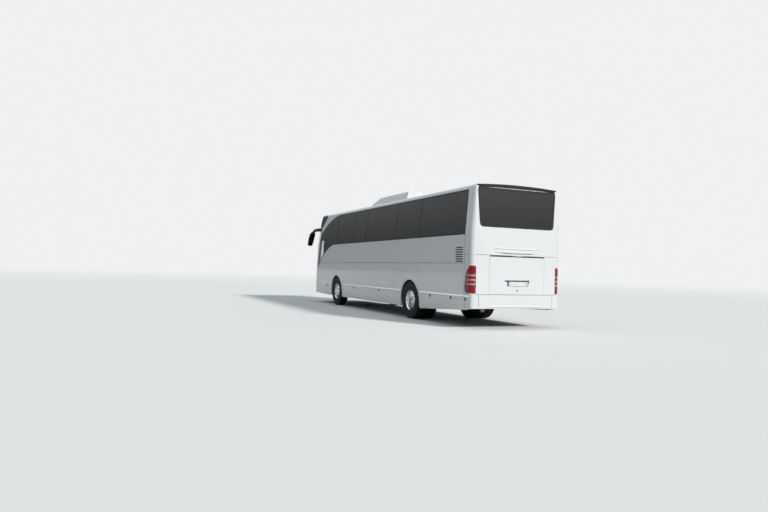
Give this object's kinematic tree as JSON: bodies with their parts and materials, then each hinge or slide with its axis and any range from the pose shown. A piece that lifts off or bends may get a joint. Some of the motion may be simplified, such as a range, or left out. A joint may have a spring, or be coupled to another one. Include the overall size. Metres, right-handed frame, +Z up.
{
  "type": "coach bus",
  "caption": "Two-axle high-deck touring coach with dark side glazing, underfloor luggage flaps, plug doors, roof air conditioner and steered front wheels.",
  "frame": {"origin": "on the road under the middle of the box around the whole coach, mirrors included", "axes": "+X to the coach's left side, +Y to its rear, +Z up"},
  "size_m": [2.9059, 12.56, 3.7099],
  "materials": {
    "body_white": "gloss",
    "hatch_white": "gloss",
    "side_glass": "dark tinted",
    "screen_glass": "tinted",
    "dome_black": "gloss",
    "mirror_black": "gloss",
    "lamp_red": "gloss",
    "lamp_clear": "clear",
    "tyre_rubber": "matte",
    "rubber_black": "matte",
    "rim_polished": "polished",
    "axle_iron": "painted",
    "engine_iron": "painted",
    "exhaust_steel": "dull",
    "frame_dark": "matte",
    "cab_trim": "matte",
    "seat_cloth": "woven"
  },
  "bodies": {
    "chassis": {"ac_unit": "body_white", "air_springs": "rubber_black", "arch_panels": "body_white", "cockpit": "cab_trim", "door_glass": "side_glass", "engine": "engine_iron", "exhaust": "exhaust_steel", "front_axle": "axle_iron", "front_bumper": "body_white", "front_dome": "dome_black", "front_door": "body_white", "front_mask": "body_white", "headlamps": "lamp_clear", "luggage_racks": "cab_trim", "middle_door": "body_white", "mirrors": "mirror_black", "rear_axle": "axle_iron", "rear_bumper": "body_white", "rear_corners": "body_white", "rear_wall": "body_white", "rear_window": "side_glass", "roof": "body_white", "roof_hatches": "hatch_white", "seats": "seat_cloth", "side_glass": "side_glass", "side_wall_left": "body_white", "side_wall_right": "body_white", "tail_lamps": "lamp_red", "top_strip": "dome_black", "underframe": "frame_dark", "windscreen": "screen_glass"},
    "engine_lid": {"engine_lid": "body_white"},
    "knuckle_left": {"knuckle_left": "axle_iron"},
    "knuckle_right": {"knuckle_right": "axle_iron"},
    "luggage_flap_left_1": {"luggage_flap_left_1": "body_white"},
    "luggage_flap_left_2": {"luggage_flap_left_2": "body_white"},
    "luggage_flap_left_3": {"luggage_flap_left_3": "body_white"},
    "luggage_flap_right_1": {"luggage_flap_right_1": "body_white"},
    "luggage_flap_right_2": {"luggage_flap_right_2": "body_white"},
    "service_flap_left_1": {"service_flap_left_1": "body_white"},
    "service_flap_left_2": {"service_flap_left_2": "body_white"},
    "service_flap_right_1": {"service_flap_right_1": "body_white"},
    "service_flap_right_2": {"service_flap_right_2": "body_white"},
    "front_wheel_left": {"tyre_front_left": "tyre_rubber", "wheel_front_left": "rim_polished"},
    "front_wheel_right": {"tyre_front_right": "tyre_rubber", "wheel_front_right": "rim_polished"},
    "rear_wheel_left": {"tyre_rear_left": "tyre_rubber", "wheel_rear_left": "rim_polished"},
    "rear_wheel_right": {"tyre_rear_right": "tyre_rubber", "wheel_rear_right": "rim_polished"}
  },
  "joints": [
    {"name": "luggage_flap_left_1_hinge", "type": "hinge", "parent": "chassis", "child": "luggage_flap_left_1", "pos_m": [1.275, -1.685, 1.55], "axis": [0, -1, 0], "range_deg": [0, 100]},
    {"name": "luggage_flap_left_2_hinge", "type": "hinge", "parent": "chassis", "child": "luggage_flap_left_2", "pos_m": [1.275, -0.235, 1.55], "axis": [0, -1, 0], "range_deg": [0, 100]},
    {"name": "luggage_flap_left_3_hinge", "type": "hinge", "parent": "chassis", "child": "luggage_flap_left_3", "pos_m": [1.275, 1.215, 1.55], "axis": [0, -1, 0], "range_deg": [0, 100]},
    {"name": "service_flap_left_1_hinge", "type": "hinge", "parent": "chassis", "child": "service_flap_left_1", "pos_m": [1.275, 4.1525, 1.55], "axis": [0, -1, 0], "range_deg": [0, 100]},
    {"name": "service_flap_left_2_hinge", "type": "hinge", "parent": "chassis", "child": "service_flap_left_2", "pos_m": [1.275, 5.3375, 1.55], "axis": [0, -1, 0], "range_deg": [0, 100]},
    {"name": "luggage_flap_right_1_hinge", "type": "hinge", "parent": "chassis", "child": "luggage_flap_right_1", "pos_m": [-1.275, -1.54, 1.55], "axis": [0, 1, 0], "range_deg": [0, 100]},
    {"name": "luggage_flap_right_2_hinge", "type": "hinge", "parent": "chassis", "child": "luggage_flap_right_2", "pos_m": [-1.275, 0.2, 1.55], "axis": [0, 1, 0], "range_deg": [0, 100]},
    {"name": "service_flap_right_1_hinge", "type": "hinge", "parent": "chassis", "child": "service_flap_right_1", "pos_m": [-1.275, 4.1525, 1.55], "axis": [0, 1, 0], "range_deg": [0, 100]},
    {"name": "service_flap_right_2_hinge", "type": "hinge", "parent": "chassis", "child": "service_flap_right_2", "pos_m": [-1.275, 5.3375, 1.55], "axis": [0, 1, 0], "range_deg": [0, 100]},
    {"name": "engine_lid_hinge", "type": "hinge", "parent": "chassis", "child": "engine_lid", "pos_m": [0, 6.26, 1.748], "axis": [1, 0, 0], "range_deg": [0, 75]},
    {"name": "steering_left", "type": "hinge", "parent": "chassis", "child": "knuckle_left", "pos_m": [1.0195, -3.07, 0.52], "axis": [0, 0, 1], "range_deg": [-40, 40]},
    {"name": "steering_right", "type": "hinge", "parent": "chassis", "child": "knuckle_right", "pos_m": [-1.0195, -3.07, 0.52], "axis": [0, 0, 1], "range_deg": [-40, 40]},
    {"name": "front_wheel_left_spin", "type": "hinge", "parent": "knuckle_left", "child": "front_wheel_left", "pos_m": [1.1095, -3.07, 0.52], "axis": [1, 0, 0], "continuous": true},
    {"name": "rear_wheel_left_spin", "type": "hinge", "parent": "chassis", "child": "rear_wheel_left", "pos_m": [0.942, 3.01, 0.52], "axis": [1, 0, 0], "continuous": true},
    {"name": "front_wheel_right_spin", "type": "hinge", "parent": "knuckle_right", "child": "front_wheel_right", "pos_m": [-1.1095, -3.07, 0.52], "axis": [1, 0, 0], "continuous": true},
    {"name": "rear_wheel_right_spin", "type": "hinge", "parent": "chassis", "child": "rear_wheel_right", "pos_m": [-0.942, 3.01, 0.52], "axis": [1, 0, 0], "continuous": true}
  ],
  "couplings": [
    {"joint": "steering_right", "follows": "steering_left", "ratio": 1}
  ]
}
